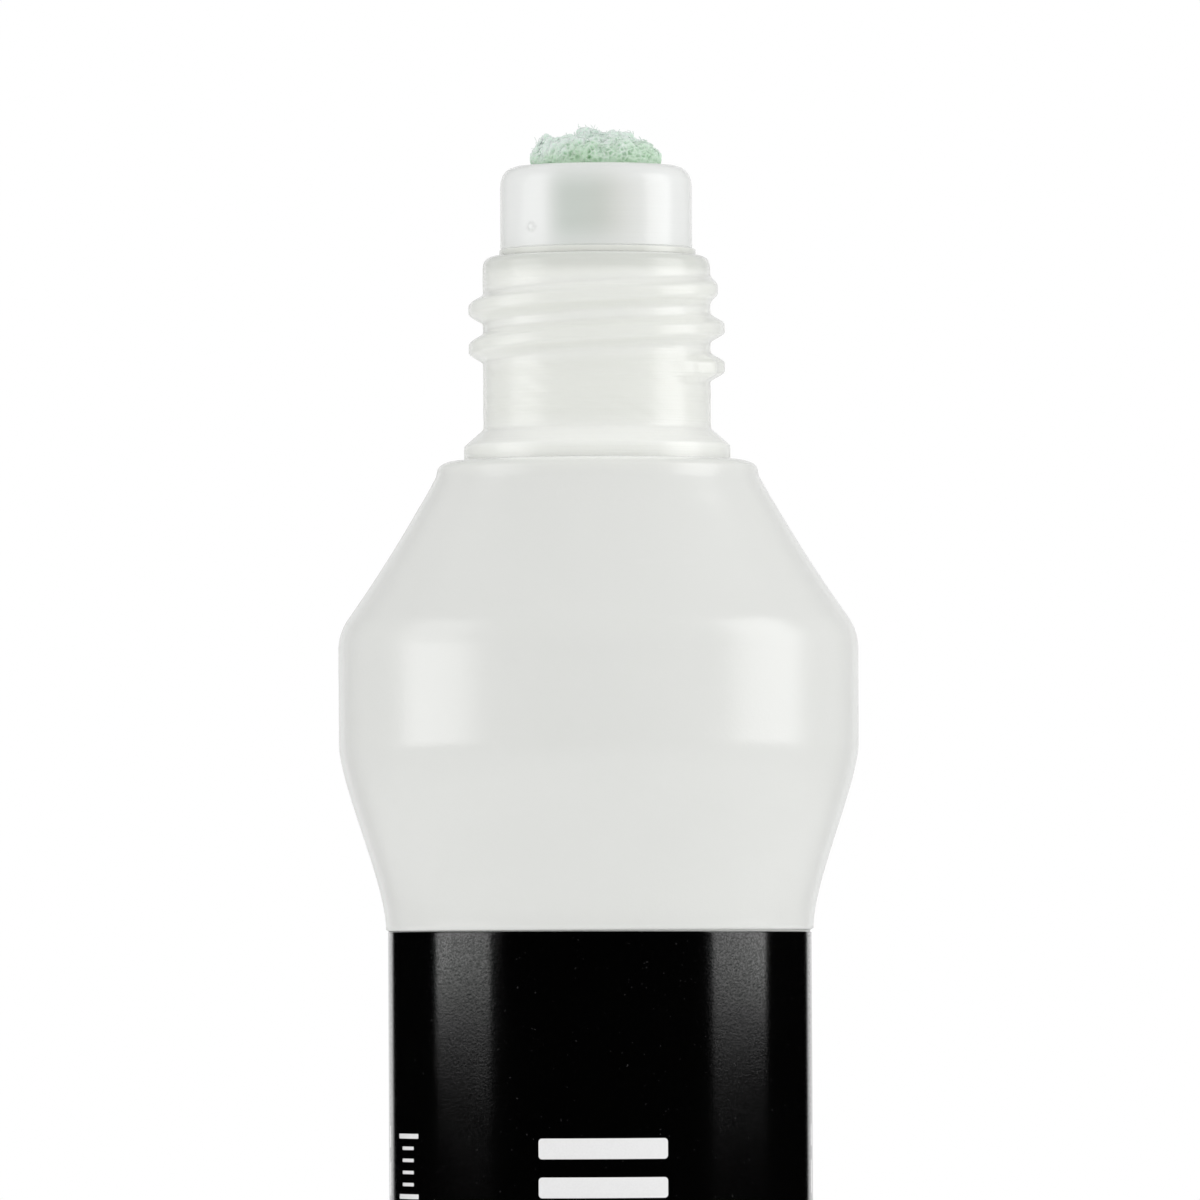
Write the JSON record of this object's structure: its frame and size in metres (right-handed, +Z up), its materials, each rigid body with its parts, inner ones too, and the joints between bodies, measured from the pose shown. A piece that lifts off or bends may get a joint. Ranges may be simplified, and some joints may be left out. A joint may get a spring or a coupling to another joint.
{
  "type": "empty squeeze marker",
  "caption": "Upright refillable squeeze marker: threaded translucent bottle with a bulged shoulder, black wrap label, press-in tip holder, ragged foam tip and a loose ball inside.",
  "frame": {"origin": "centre of the bottle's foot, on the surface that it stands on", "axes": "+Z up along the bottle's axis towards the foam tip; -Y is the front, from which the picture is taken; +X is to its right"},
  "size_m": [0.0432, 0.0432, 0.1509],
  "materials": {
    "bottle_plastic": "milky translucent LDPE, satin",
    "label_film": "black printed film, satin with a fine grain",
    "holder_plastic": "natural polyethylene, smooth satin",
    "tip_foam": "coarse open-cell foam, mint green",
    "ball_steel": "polished steel"
  },
  "bodies": {
    "bottle_body": {"bottle": "bottle_plastic", "label": "label_film"},
    "holder": {"tip_holder": "holder_plastic"},
    "foam": {"foam_tip": "tip_foam"},
    "ball": {"mixing_ball": "ball_steel"}
  },
  "joints": [
    {"name": "holder_pull", "type": "slide", "parent": "bottle_body", "child": "holder", "axis": [0, 0, 1], "range_m": [0, 0.0145]},
    {"name": "tip_press", "type": "slide", "parent": "holder", "child": "foam", "axis": [0, 0, -1], "range_m": [0, 0.0018], "stiffness_N_per_m": 900, "deforming": ["foam_tip"]},
    {"name": "ball_travel", "type": "slide", "parent": "bottle_body", "child": "ball", "axis": [0, 0, 1], "range_m": [0, 0.105]}
  ]
}
